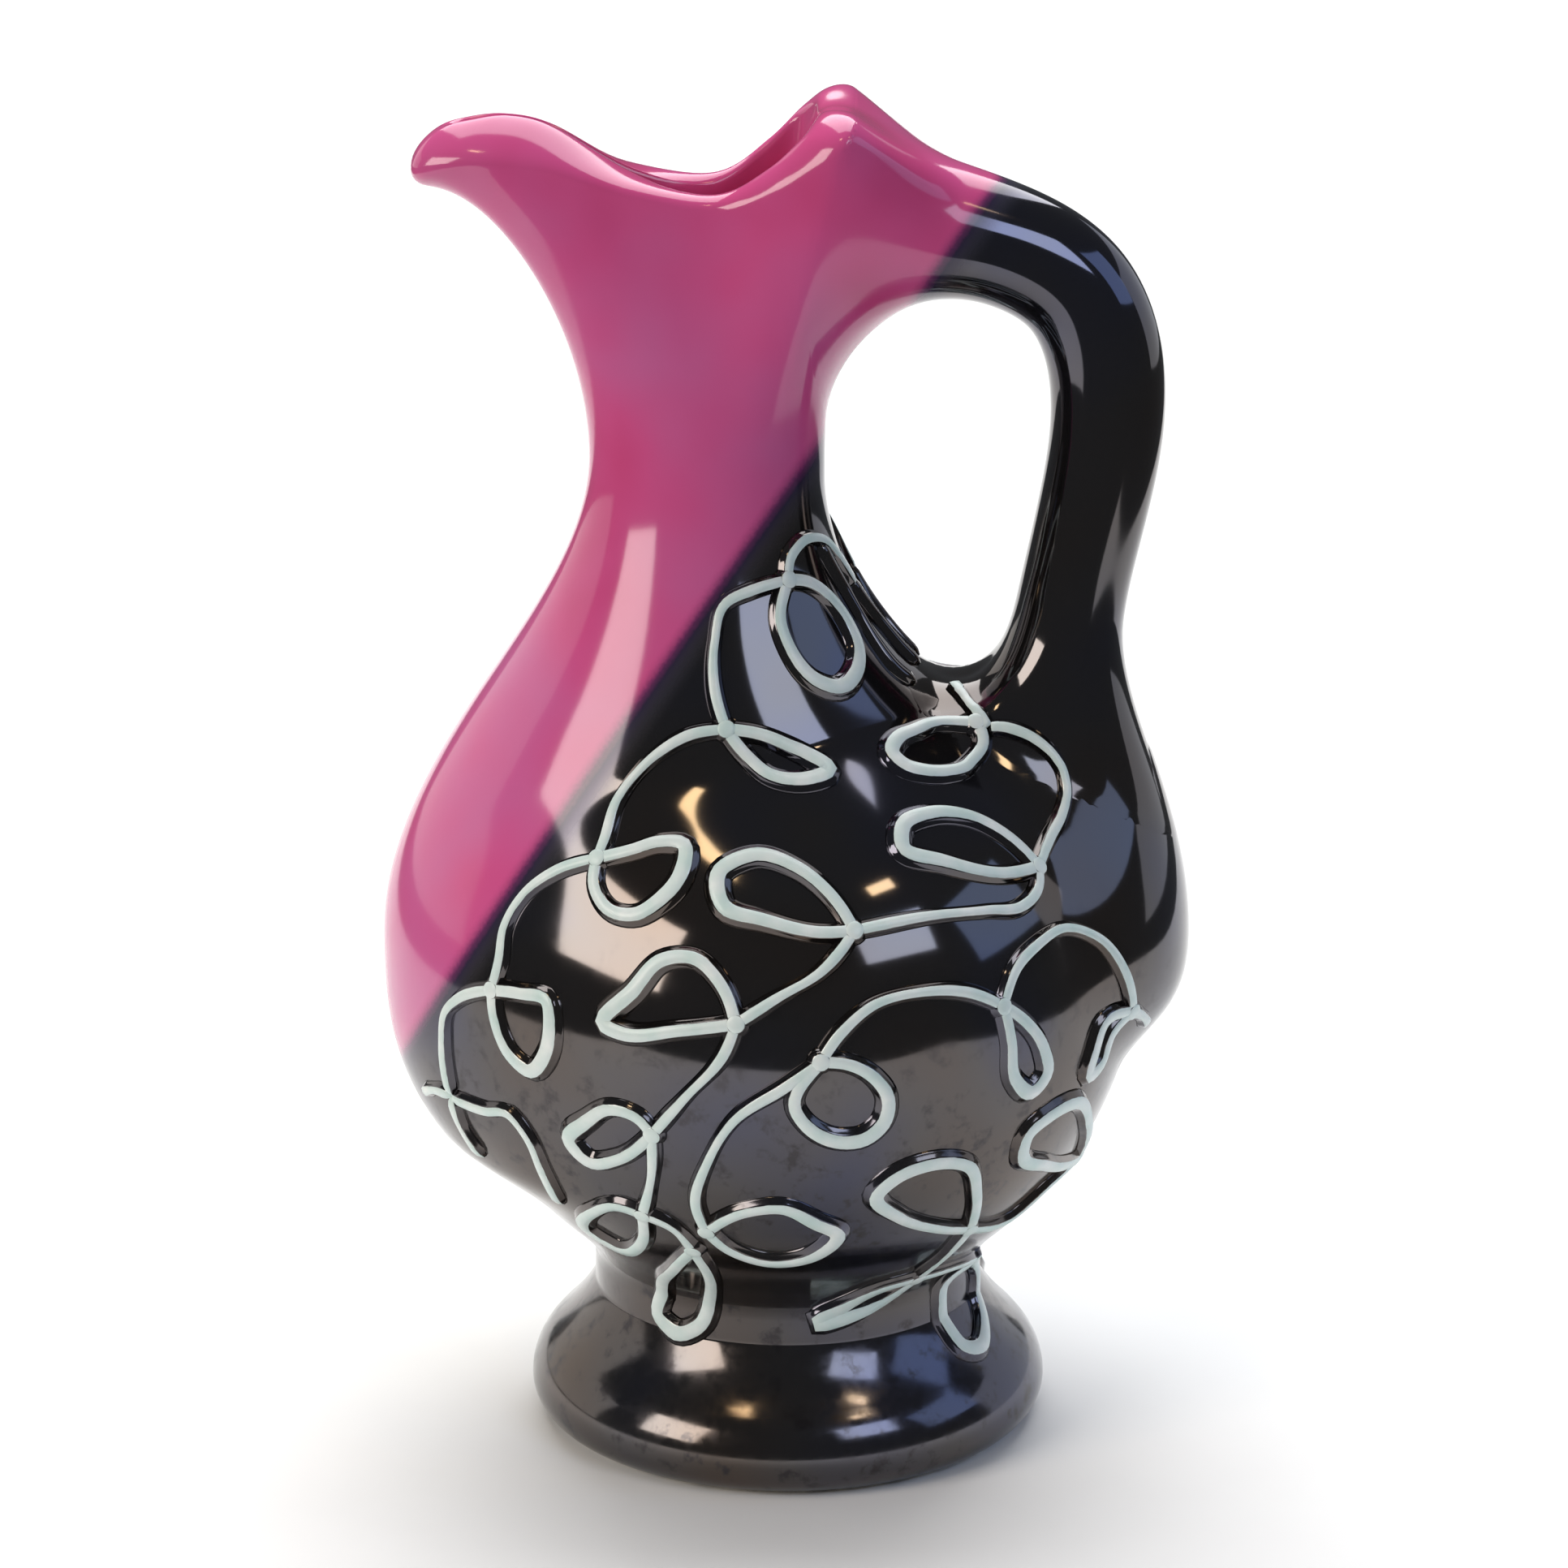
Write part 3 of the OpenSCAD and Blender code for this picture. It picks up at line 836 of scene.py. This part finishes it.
@dataclass
class Handle:
    """Arched handle whose ends flow out over the neck and the belly.

    The rows of line hold a place, X and Z. The rows of size hold a place, half the thickness, half the depth and
    how flat the outer and the inner side are. The rows of buried hold a share of the way out to the landing's
    loop and a height over the wall.
    """

    vessel: Vessel
    sides: int = 64
    steps: int = 84
    flare_steps: int = 18
    ease: float = 0.9
    lift: float = 0.02
    line: Knots = (
        (0, 22.5, 245.2), (1, 31, 244.4), (2, 42.8, 242), (3, 53, 236), (4, 60, 227.8), (5, 62.8, 212.4),
        (6, 61.5, 198), (7, 58, 182), (8, 55, 168), (9, 54, 158),
    )
    size: Knots = (
        (0, 16, 15.5, 0.65, 1.4), (1, 12.75, 14, 0.8, 1.2), (2, 12, 12.5, 0.9, 1), (3, 11.6, 11.6, 1, 1),
        (4, 11.6, 11.5, 1, 1), (5, 11.2, 11.5, 1, 1), (6, 11, 11.5, 1, 1), (7, 10.6, 11.6, 1, 1),
        (8, 10.6, 12, 1, 1), (9, 11.5, 12.8, 1, 1),
    )
    buried: Knots = ((0, -1.8), (0.3, -1.8), (0.7, -1.8), (1.0, -1.5), (1.13, -0.4), (1.06, -0.06))
    root: Landing = Landing(
        loop=((0, 0, 1.22), (20, 14, 1.2), (38, 27, 1.12), (55, 37, 1.0), (75, 44, 0.86), (100, 47, 0.66),
              (125, 42, 0.45), (150, 27, 0.25), (180, 0, 0.1)),
        middle=(0.0, 0.62),
        pulls=((0, 20, 12), (60, 18, 14), (120, 24, 22), (180, 30, 35)),
        reach=0.01, start=1.0, way=-0.02,
    )
    tail: Landing = Landing(
        loop=((0, 0, 122), (40, 10, 127), (75, 19, 137), (105, 24, 146), (135, 22, 154), (160, 12, 160),
              (180, 0, 162)),
        middle=(0.0, 143.0),
        pulls=((0, 40, 40), (60, 30, 30), (120, 34, 34), (180, 50, 54)),
        reach=0.5, start=8.0, way=0.02,
    )

    def _eased(self, knots: Knots, u: float) -> Vector:
        """Mean of a table around a place, which takes the kinks out of the bar."""
        first, *rest = [table(knots, v) for v in ladder(u - self.ease, u + self.ease, 9)]
        return sum(rest, first) / (len(rest) + 1)

    def tube(self, a: float, u: float) -> Vector:
        """Point on the bar.

        Args:
            a: Angle round the bar, 0 on its outer side and 90 towards +Y.
            u: Place along its line.

        Returns:
            The point.
        """
        p = self._eased(self.line, u)
        w = (self._eased(self.line, u + 0.05) - self._eased(self.line, u - 0.05)).normalized()
        thick, deep, top, under = self._eased(self.size, u)
        c, s = math.cos(math.radians(a)), math.sin(math.radians(a))
        y = deep * math.copysign(abs(s) ** (top if c > 0 else under), s)
        return Vector((p.x - w.y * thick * c, y, p.y + w.x * thick * c))

    @staticmethod
    def _land(a: float, end: Landing, surface: Surface, share: float, lift: float) -> Vector:
        """Point over or under a wall, where the handle lands.

        Args:
            a: Angle round the bar.
            end: The landing.
            surface: The wall.
            share: Share of the way from the landing's middle to its loop.
            lift: Height over the wall.

        Returns:
            The point.
        """
        place = table(end.loop, min(a, 360 - a))
        u = end.middle[0] + (place.x - end.middle[0]) * share
        v = end.middle[1] + (place.y - end.middle[1]) * share
        du = surface(u + 0.5, v) - surface(u - 0.5, v)
        dv = surface(u, v + end.reach) - surface(u, v - end.reach)
        p = surface(u, v) + du.cross(dv).normalized() * lift
        return p if a <= 180 else p * MIRROR

    def _flare(self, a: float, end: Landing, surface: Surface) -> list[Vector]:
        """Run of points from the middle under a wall, out along it and up onto the bar.

        Args:
            a: Angle round the bar.
            end: The landing.
            surface: The wall.

        Returns:
            The points, from the wall to the bar.
        """
        under = [self._land(a, end, surface, *place) for place in self.buried]
        pull = table(end.pulls, min(a, 360 - a))
        bar, foot = self.tube(a, end.start), self._land(a, end, surface, 1, self.lift)
        out = (self.tube(a, end.start + end.way) - bar).normalized() * pull.x
        inner, outer = (self._land(a, end, surface, share, 0) for share in (0.98, 1.02))
        spread = (outer - inner).normalized() * pull.y
        return under + [hermite(bar, out, foot, spread, t) for t in ladder(1, 0, self.flare_steps)[:-1]]

    def build(self, material: Material) -> Piece:
        """Makes the handle.

        Args:
            material: Its glaze.

        Returns:
            The piece.
        """
        columns = []
        for a in ladder(0, 360, self.sides)[:-1]:
            bar = [self.tube(a, u) for u in ladder(self.root.start, self.tail.start, self.steps)]
            root = self._flare(a, self.root, self.vessel.upper)
            tail = self._flare(a, self.tail, self.vessel.outside)
            columns.append(root + bar + tail[::-1])
        bm = bmesh.new()
        lay(bm, closed(list(zip(*columns))))
        piece = finish_piece("handle_arch", bm, material)
        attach(piece, BODY)
        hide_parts("handle")
        return piece


@dataclass
class TrailedVine:
    """Strand of trailed slip: stems and open leaves as raised lines along places of angle and height.

    A leaf starts and ends at its joint. Plain lines are glazed over. Spans lie on the handle as well as on the
    vessel, so they fall onto both from outside. A section's row is a way across and a height, and a knot's row
    is a radius and a height.
    """

    node: str
    stems: Paths
    leaves: Paths
    plain: Paths = ()
    spans: tuple[tuple[Fall, tuple[Place, ...]], ...] = ()
    step: float = 1.1
    tip_swell: float = 0.35
    stem: float = 0.82
    stem_wave: float = 0.1
    stem_turn: float = 9.0
    taper: tuple[float, ...] = (0.45, 0.85)
    plain_uv: float = 0.01
    drop_from: float = 9.0
    drop_way: float = 14.0
    knot_sides: int = 16
    section: tuple[Place, ...] = (
        (-2.25, -0.12), (-1.75, 0.3), (-1.32, 0.98), (-1.05, 1.38), (0.0, 1.52), (1.05, 1.38), (1.32, 0.98),
        (1.75, 0.3), (2.25, -0.12), (1.4, -0.8), (-1.4, -0.8),
    )
    knot: tuple[Place, ...] = (
        (0.0, -0.8), (1.6, -0.8), (2.9, -0.15), (2.45, 0.35), (2.15, 0.9), (1.85, 1.35), (1.6, 1.55),
        (0.8, 1.66), (0.0, 1.68),
    )

    @staticmethod
    def _smooth(points: Sequence[Vector], spots: Sequence[Vector]) -> list[Vector]:
        """Fine points on the round curve through points.

        Args:
            points: The points.
            spots: Where they lie, which gives the way from one to the next.

        Returns:
            The fine points, from the first point to the last.
        """
        gaps = [(b - a).length for a, b in zip(spots, spots[1:])]
        steps = [(b - a) / g for a, b, g in zip(points, points[1:], gaps)]
        slopes = [(u * h + v * g) / (g + h) for u, v, g, h in zip(steps, steps[1:], gaps, gaps[1:])]
        slopes = [steps[0] * 1.5 - slopes[0] * 0.5] + slopes + [steps[-1] * 1.5 - slopes[-1] * 0.5]
        fine = [points[0]]
        for i, g in enumerate(gaps):
            ends = points[i], slopes[i] * g, points[i + 1], slopes[i + 1] * g
            fine += [hermite(*ends, t) for t in ladder(0, 1, 24)[1:]]
        return fine

    def _line(self, vessel: Vessel, places: Sequence[Place]) -> Line:
        """Points and normals of the wall, a small step apart, under the round line through places.

        Args:
            vessel: The wall.
            places: Places of angle and height.

        Returns:
            The points and normals.
        """
        fine = self._smooth([Vector(p) for p in places], [vessel.outside(*p) for p in places])
        walls = [vessel.outside(*p) for p in fine]
        lengths = [0.0]
        for a, b in zip(walls, walls[1:]):
            lengths.append(lengths[-1] + (b - a).length)
        line, k = [], 0
        for want in ladder(0, lengths[-1], max(4, round(lengths[-1] / self.step))):
            while k < len(lengths) - 2 and lengths[k + 1] < want:
                k += 1
            t = (want - lengths[k]) / max(lengths[k + 1] - lengths[k], TINY)
            line.append(self._stand(vessel, fine[k].lerp(fine[k + 1], t))[:2])
        return line

    def _span(self, walls: BVHTree, fall: Fall, places: Sequence[Place]) -> Line:
        """Points and normals of the surface that a line falls on from above or from the front.

        Args:
            walls: The glazed surfaces.
            fall: The way it falls.
            places: Places of X and Y from above, or of X and Z from the front.

        Returns:
            The points and normals.
        """
        spots = [Vector(p) for p in places]
        start, way = fall.value
        line = []
        for p in self._smooth(spots, spots)[::4]:
            origin = Vector((p.x, p.y, start) if fall is Fall.DOWN else (p.x, start, p.y))
            point, normal = walls.ray_cast(origin * MM, Vector(way))[:2]
            if point:
                line.append((point / MM, normal))
        return line

    def _rows(self, walls: BVHTree, line: Line, leaf: bool, blunt: tuple[bool, bool]) -> list[list[Vector]]:
        """Rings of the raised line.

        Args:
            walls: The glazed surfaces that the line lies on.
            line: Points and normals along it.
            leaf: True on a leaf, which is fuller at its tip.
            blunt: True at an end that runs into a joint.

        Returns:
            The rings, closed at the ends.
        """
        n = len(line) - 1
        rows = []
        for i, (point, up) in enumerate(line):
            side = (line[min(n, i + 1)][0] - line[max(0, i - 1)][0]).cross(up).normalized()
            if leaf:
                swell = 1.0 + self.tip_swell * math.sin(math.pi * i / n) ** 4
            else:
                swell = self.stem + self.stem_wave * math.sin(self.stem_turn * i / n)
            near = min(n if blunt[0] else i, n if blunt[1] else n - i)
            full = self.taper[near] if near < len(self.taper) else 1.0
            row = []
            for across, high in self.section:
                base = self._drop(walls, point + side * across * swell * full, up)
                row.append(base + up * (high * full if high > 0 else high))
            rows.append(row)
        return closed([self._point(rows[0])] + rows + [self._point(rows[-1])])

    def _knot_rows(self, vessel: Vessel, walls: BVHTree, place: Place) -> list[list[Vector]]:
        """Runs from under a joint over its edge to its top, round the joint.

        Args:
            vessel: The wall, for its normal.
            walls: The glazed surfaces.
            place: Place of the joint.

        Returns:
            The runs, the last the same as the first.
        """
        middle, up, along = self._stand(vessel, place)
        side = along.cross(up)
        rows = []
        for turn in ladder(0, 2 * math.pi, self.knot_sides)[:-1]:
            way = along * math.cos(turn) + side * math.sin(turn)
            rows.append([self._drop(walls, middle + way * r, up) + up * h for r, h in self.knot])
        return rows + rows[:1]

    @staticmethod
    def _stand(vessel: Vessel, place: Place) -> tuple[Vector, Vector, Vector]:
        """Where a line stands on the wall.

        Args:
            vessel: The wall.
            place: Angle and height.

        Returns:
            The point, the wall's normal and one way along it.
        """
        a, z = place
        du = vessel.outside(a + 0.6, z) - vessel.outside(a - 0.6, z)
        dv = vessel.outside(a, z + 0.4) - vessel.outside(a, z - 0.4)
        return vessel.outside(a, z), du.cross(dv).normalized(), du.normalized()

    def _drop(self, walls: BVHTree, q: Vector, up: Vector) -> Vector:
        """Point set down on the glazed surfaces."""
        hit = walls.ray_cast((q + up * self.drop_from) * MM, -up, self.drop_way * MM)[0]
        return hit / MM if hit else q

    @staticmethod
    def _point(row: Sequence[Vector]) -> list[Vector]:
        """Ring drawn together to its middle."""
        return [sum(row, Vector()) / len(row)] * len(row)

    def build(self, vessel: Vessel, walls: BVHTree, material: Material, side: Side) -> Piece:
        """Makes the strand on one side. The one on the back stops where it would peep over the saddle.

        Args:
            vessel: The wall.
            walls: The glazed surfaces.
            material: Glaze with the bare crest.
            side: The side.

        Returns:
            The piece.
        """
        bm = bmesh.new()
        bm.loops.layers.uv.new("across")
        joints = {leaf[0] for leaf in self.leaves}
        for places in self.stems:
            ends = places[0] in joints, places[-1] in joints
            lay(bm, self._rows(walls, self._line(vessel, places), False, ends))
        for places in self.leaves:
            lay(bm, self._rows(walls, self._line(vessel, places + places[:1]), True, (True, True)))
        for places in self.plain:
            lay(bm, self._rows(walls, self._line(vessel, places), False, (False, False)), stretch=self.plain_uv)
        for fall, places in self.spans:
            if side is Side.FRONT or fall is Fall.BACK:
                lay(bm, self._rows(walls, self._span(walls, fall, places), False, (fall is Fall.BACK, True)))
        for place in sorted(joints):
            lay(bm, self._knot_rows(vessel, walls, place), stretch=CREST_PLACE)
        node = self.node
        if side is Side.BACK:
            node += "_back"
            bmesh.ops.scale(bm, vec=(1, side.value, 1), verts=bm.verts)
        piece = finish_piece("trailed_" + node, bm, material)
        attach(piece, BODY)
        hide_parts(node)
        return piece


STRANDS = (
    TrailedVine("neck_vine", stems=(
        ((308, 180), (312, 184), (322, 186.5), (335, 185.5), (345, 181), (351, 174)),
        ((308, 180), (290, 179), (278, 177), (272, 170), (270, 163), (271, 155)),
        ((271, 155), (260, 154), (247, 149), (239, 142), (237, 135), (236, 132)),
        ((236, 132), (228, 129), (222, 124), (219, 117), (219, 111), (218, 105)),
        ((218, 105), (211, 101), (208, 97), (207, 90), (207, 79)),
        ((207, 79), (204, 79), (198, 76)),
        ((207, 79), (207, 74), (209, 66)),
        ((207, 79), (215, 79), (220, 80), (223, 76), (224, 68), (224, 60)),
    ), leaves=(
        ((308, 180), (300, 174), (300, 168), (305, 162), (312, 160), (322, 162), (329, 166), (329, 173),
         (317, 179)),
        ((271, 155), (280, 154), (289, 151), (295, 147), (288, 146), (279, 147), (274, 151)),
        ((236, 132), (243, 134), (250, 136), (255, 136), (254, 131), (250, 127), (245, 124), (240, 124),
         (236, 128)),
        ((218, 105), (224, 106), (229, 106), (230, 101), (229, 95), (226, 91), (222, 93), (219, 99)),
    ), plain=(
        ((350, 176), (353, 170), (354.5, 165), (355.5, 160), (356, 157.5)),
        ((334, 185), (337, 181), (340, 176), (340.7, 170.7), (340, 165), (340.5, 160), (344, 156.3)),
    )),
    TrailedVine("belly_vine", stems=(
        ((325, 127), (322, 124), (316, 122), (309, 123), (297, 124), (284, 123)),
        ((284, 123), (276, 116), (269, 112), (262, 107)),
        ((262, 107), (260, 101), (254, 92), (248, 83)),
        ((248, 83), (247, 74), (243, 63)),
        ((243, 63), (248, 61), (251, 55)),
    ), leaves=(
        ((341, 149), (335, 150.3), (327, 150.3), (319, 149.8), (314.5, 148.3), (314.5, 146.3), (318, 144.8),
         (323, 143.9), (330, 143.7), (337, 145.7)),
        ((325, 127), (323, 133), (319, 137), (311, 139), (303, 138), (300, 135), (306, 132), (316, 128)),
        ((284, 123), (282, 129), (278, 133), (270, 135), (262, 132), (262, 127), (269, 125), (278, 123)),
        ((262, 107), (260, 114), (256, 118), (250, 117), (245, 111), (240, 104), (243, 103), (253, 105)),
        ((248, 83), (246, 86), (241, 87), (236, 83), (232, 78), (235, 74), (241, 76)),
        ((243, 63), (238, 64), (232, 61), (225, 53), (232, 50), (240, 55)),
        ((251, 55), (244, 48), (233, 38), (230, 31), (237, 28.5), (244, 31), (248, 38), (252, 48)),
    ), spans=(
        (Fall.DOWN, ((32, -5.8), (33.6, -8.8), (36.2, -13.7), (38.8, -16.8))),
        (Fall.BACK, ((39.5, 149), (42, 149), (46, 148), (50, 145.6), (53.2, 141.4), (53.9, 137),
                     (52.7, 133.4), (50.1, 130.2), (48, 127.3))),
    )),
    TrailedVine("front_vine", stems=(
        ((306, 106), (300, 110), (292.5, 111.4), (283.5, 109.8), (278, 105), (275, 100)),
        ((275, 100), (269.5, 95), (262, 88.4), (256.8, 77.8), (254, 67.6), (255, 61)),
        ((306, 106), (310, 112), (316, 115), (323, 116), (330, 112), (334, 104), (337, 95)),
        ((337, 95), (340, 93), (344, 89)),
    ), leaves=(
        ((306, 106), (310, 102), (314, 95), (315, 90), (312, 87), (308, 91), (307, 99)),
        ((275, 100), (279.5, 99.2), (283.2, 96.4), (285.5, 92), (285, 86.8), (282, 83.6), (278, 83.4),
         (273.7, 86), (271, 91)),
        ((255, 61), (263, 67), (269, 68), (275, 64), (279, 61), (275, 55), (267, 53), (259, 56)),
        ((337, 95), (330, 95), (328, 90), (327, 85), (331, 86), (333, 92)),
    )),
    TrailedVine("low_vine", stems=(
        ((343, 60), (330, 59), (322, 54), (308, 56)),
        ((308, 56), (307, 49), (305, 42)),
        ((305, 42), (315, 41.5), (326, 40), (335, 38)),
    ), leaves=(
        ((343, 60), (333, 72), (325, 80), (318, 80), (313, 77), (313, 73), (322, 67)),
        ((308, 56), (305, 66), (301, 74), (295, 76), (288, 74), (285, 70), (290, 64), (299, 59)),
        ((305, 42), (295, 41), (286, 37), (278, 33), (288, 34), (300, 38)),
        ((335, 38), (342, 32), (341, 26), (335.5, 22), (330, 20.3), (324, 21.5), (321.5, 25.5), (320, 31),
         (321, 36)),
    )),
)


@dataclass(frozen=True)
class Lamp:
    """Soft lamp that faces the ewer, in metres and watts."""

    name: str
    place: Point
    size: Place
    watts: float
    colour: str
    aim: Point = (0.0, 0.0, 0.13)

    def hang(self) -> None:
        """Hangs the lamp."""
        data = bpy.data.lights.new(self.name, "AREA")
        data.shape = "RECTANGLE"
        data.size, data.size_y = self.size
        data.energy = self.watts
        data.color = linear(self.colour)[:3]
        lamp = bpy.data.objects.new(self.name, data)
        lamp.location = self.place
        lamp.rotation_euler = (Vector(self.aim) - Vector(self.place)).to_track_quat("-Z", "Y").to_euler()
        bpy.context.scene.collection.objects.link(lamp)


@dataclass
class Studio:
    """Pale floor, soft lamps and the camera. The floor's half width and depth are in metres at each end."""

    distance: float = 1300.0
    elevation: float = 18.5
    target: Point = (-0.8, 0.0, 132.0)
    lens: float = 150.63
    sensor: float = 36.0
    far: float = 100.0
    floor_front: Place = (0.40, -0.36)
    floor_back: Place = (0.66, 3.6)
    floor_cells: int = 8
    world: str = "#6a6d71"
    world_strength: float = 0.55
    lamps: tuple[Lamp, ...] = (
        Lamp("left_window", (-1.12, -0.79, 0.74), (0.7, 0.7), 10.5, "#fff6ec"),
        Lamp("right_window", (1.3, -0.2, 0.79), (0.75, 0.6), 1.7, "#b3cdff"),
        Lamp("front_window", (0.71, -0.84, 0.87), (0.55, 0.38), 2.6, "#dbe7ff"),
        Lamp("left_wall", (-1.5, 0.8, 0.5), (1.8, 1.0), 5.0, "#fffaf4"),
        Lamp("right_wall", (1.5, 1.0, 0.45), (1.8, 1.0), 4.0, "#f2f6ff"),
        Lamp("left_bulb", (-0.45, -0.65, 1.5), (0.22, 0.1), 0.8, "#ffdda8"),
        Lamp("right_bulb", (0.7, -0.65, 1.4), (0.22, 0.1), 0.8, "#ffdda8"),
        Lamp("ceiling", (0.0, 1.3, 2.3), (2.6, 3.0), 92.0, "#ffffff"),
    )

    def camera(self) -> None:
        """Stands the camera before the ewer, a little above it."""
        data = bpy.data.cameras.new("camera")
        data.sensor_fit = "HORIZONTAL"
        data.sensor_width = self.sensor
        data.lens = self.lens
        data.clip_end = self.far
        seen = bpy.data.objects.new("camera", data)
        e = math.radians(self.elevation)
        away = Vector((0, -math.cos(e), math.sin(e))) * self.distance
        seen.location = (Vector(self.target) + away) * MM
        seen.rotation_euler = (math.pi / 2 - e, 0, 0)
        bpy.context.scene.collection.objects.link(seen)
        bpy.context.scene.camera = seen

    def floor(self) -> None:
        """Lays the floor."""
        bm = bmesh.new()
        cells = self.floor_cells
        made = bmesh.ops.create_grid(bm, x_segments=cells, y_segments=cells, size=1.0)
        for v in made["verts"]:
            half, y = Vector(self.floor_front).lerp(Vector(self.floor_back), (v.co.y + 1) / 2)
            v.co = (v.co.x * half, y, 0)
        piece = finish_piece("floor", bm, PaleFloor().build())

    def light(self) -> None:
        """Sets the world and the lamps."""
        world = bpy.data.worlds.new("studio")
        world.use_nodes = True
        sky = world.node_tree.nodes["Background"].inputs
        sky["Color"].default_value = linear(self.world)
        sky["Strength"].default_value = self.world_strength
        bpy.context.scene.world = world
        for lamp in self.lamps:
            lamp.hang()
        bpy.context.scene.view_settings.view_transform = "Standard"

    def build(self) -> None:
        """Sets up the whole studio."""
        self.camera()
        self.floor()
        self.light()


def main() -> None:
    """Loads the frame and dresses the ewer piece by piece."""
    logging.basicConfig(level=logging.INFO, format="%(message)s")
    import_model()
    Studio().build()
    glaze = Glaze()
    coat = glaze.build("glaze_pink_and_black_lustre", trailed=False)
    trail = glaze.build("glaze_with_mint_slip", trailed=True)
    vessel = Vessel()
    handle = Handle(vessel)
    pieces = [vessel.build(coat), handle.build(coat)]
    walls_mesh = bmesh.new()
    for piece in pieces:
        walls_mesh.from_mesh(piece.data)
    walls = BVHTree.FromBMesh(walls_mesh)
    for strand in STRANDS:
        for side in Side:
            strand.build(vessel, walls, trail, side)
    walls_mesh.free()


if __name__ == "__main__":
    main()
